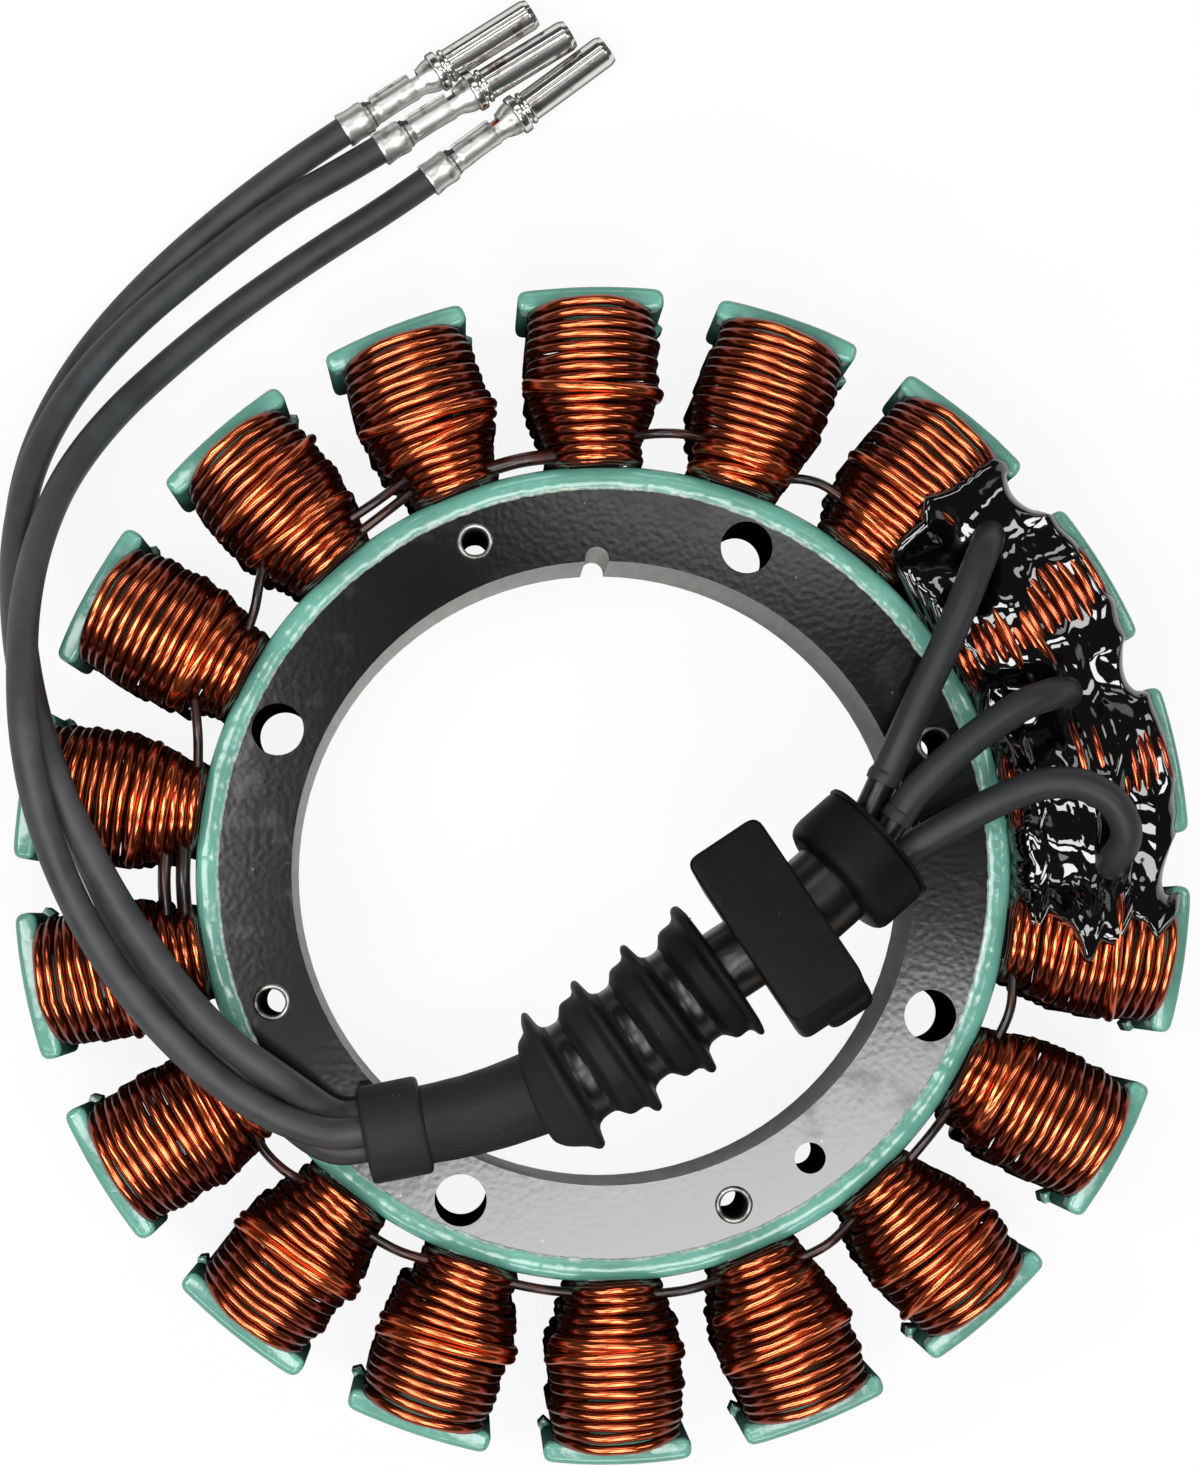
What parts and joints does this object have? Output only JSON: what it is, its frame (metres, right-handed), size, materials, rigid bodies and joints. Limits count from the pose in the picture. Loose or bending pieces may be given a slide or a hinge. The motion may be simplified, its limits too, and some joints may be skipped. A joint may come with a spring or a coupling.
{
  "type": "wound alternator stator",
  "caption": "Ring stator with green coated teeth, copper windings, bolt holes, and insulated leads with a rubber grommet and crimped round terminals.",
  "frame": {"origin": "centre of the bore on the steel stack's back face", "axes": "+Z along the bore to the lead side, +Y through the notch in the bore and the middle of a tooth"},
  "size_m": [0.1458, 0.1851, 0.051],
  "materials": {
    "black_plate": "gloss black paint on steel with a fine orange-peel texture, bare steel in the bore",
    "green_epoxy": "glossy sea-green powder coating",
    "copper_wire": "clear enamelled copper wire",
    "rivet_steel": "dull darkened steel",
    "rubber": "matt black moulded rubber, glossy in the grooves",
    "lead_jacket": "satin black sleeving over glossy black insulation",
    "tinned_brass": "tinned brass, bright on the hoods and dull on the crimps",
    "resin": "glossy black potting resin"
  },
  "bodies": {
    "root": {"coil_01": "copper_wire", "coil_02": "copper_wire", "coil_03": "copper_wire", "coil_04": "copper_wire", "coil_05": "copper_wire", "coil_06": "copper_wire", "coil_07": "copper_wire", "coil_08": "copper_wire", "coil_09": "copper_wire", "coil_10": "copper_wire", "coil_11": "copper_wire", "coil_12": "copper_wire", "coil_13": "copper_wire", "coil_14": "copper_wire", "coil_15": "copper_wire", "coil_16": "copper_wire", "coil_17": "copper_wire", "coil_18": "copper_wire", "epoxy_coating": "green_epoxy", "lead_1": "lead_jacket", "lead_2": "lead_jacket", "lead_3": "lead_jacket", "lead_grommet": "rubber", "link_wire_01": "copper_wire", "link_wire_02": "copper_wire", "link_wire_03": "copper_wire", "link_wire_04": "copper_wire", "link_wire_05": "copper_wire", "link_wire_06": "copper_wire", "link_wire_07": "copper_wire", "link_wire_08": "copper_wire", "link_wire_09": "copper_wire", "link_wire_10": "copper_wire", "link_wire_11": "copper_wire", "link_wire_12": "copper_wire", "link_wire_13": "copper_wire", "link_wire_14": "copper_wire", "link_wire_15": "copper_wire", "link_wire_16": "copper_wire", "link_wire_17": "copper_wire", "potting_resin": "resin", "rivet_1": "rivet_steel", "rivet_2": "rivet_steel", "rivet_3": "rivet_steel", "rivet_4": "rivet_steel", "short_sleeve_1": "lead_jacket", "short_sleeve_2": "lead_jacket", "short_sleeve_3": "lead_jacket", "short_wire_1": "lead_jacket", "short_wire_2": "lead_jacket", "short_wire_3": "lead_jacket", "stator_core": "black_plate", "terminal_contact_1": "tinned_brass", "terminal_contact_2": "tinned_brass", "terminal_contact_3": "tinned_brass", "terminal_hood_1": "tinned_brass", "terminal_hood_2": "tinned_brass", "terminal_hood_3": "tinned_brass"}
  },
  "joints": []
}
